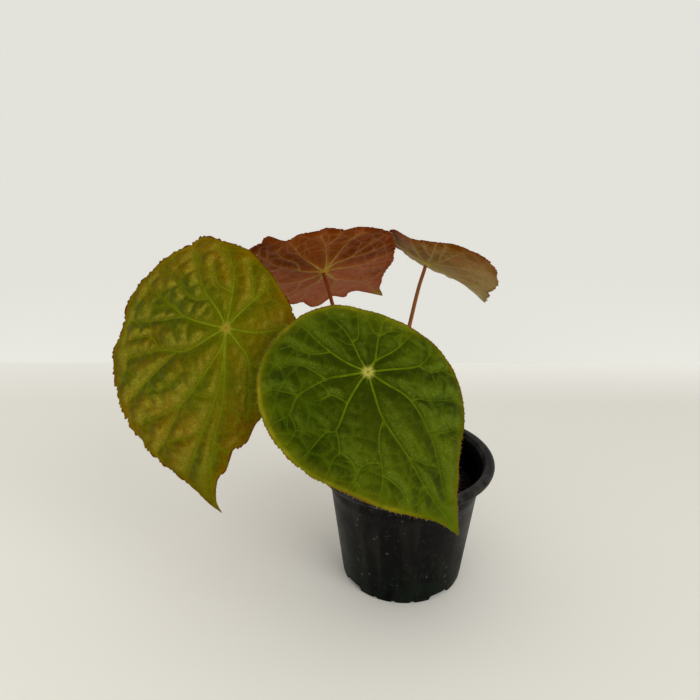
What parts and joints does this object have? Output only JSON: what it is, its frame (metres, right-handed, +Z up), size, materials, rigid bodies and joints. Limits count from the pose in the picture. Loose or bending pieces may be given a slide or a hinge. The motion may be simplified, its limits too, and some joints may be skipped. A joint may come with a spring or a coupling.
{
  "type": "potted begonia",
  "caption": "Young shield-leaved begonia in a small round nursery pot: broad pointed leaf blades on slender red stalks from a creeping rhizome.",
  "frame": {"origin": "middle of the pot's flat foot, on the surface that the pot stands on", "axes": "+Z up along the pot's axis, -Y towards the side that the green front leaf leans to, +X to the right seen from there"},
  "size_m": [0.1611, 0.153, 0.1618],
  "materials": {
    "black_plastic": "satin black moulded plastic with faint dust and smudges",
    "peat": "dark damp peaty potting mix",
    "rhizome_bark": "brown-green skin with leaf scars",
    "red_stalk": "smooth red-brown stalk with fine hairs",
    "green_leaf": "soft green leaf with paler veins and a yellow-green edge, red-brown below",
    "olive_leaf": "olive-bronze blistered leaf with a waxy shine and a red-brown edge, red below",
    "red_leaf": "brick-red underside with pale veins, olive-bronze above"
  },
  "bodies": {
    "root": {"pot": "black_plastic", "potting_mix": "peat", "rhizome": "rhizome_bark", "petiole_front": "red_stalk", "petiole_left": "red_stalk", "petiole_back": "red_stalk", "petiole_right": "red_stalk", "blade_front": "green_leaf", "blade_left": "olive_leaf", "blade_back": "red_leaf", "blade_right": "red_leaf"}
  },
  "joints": []
}
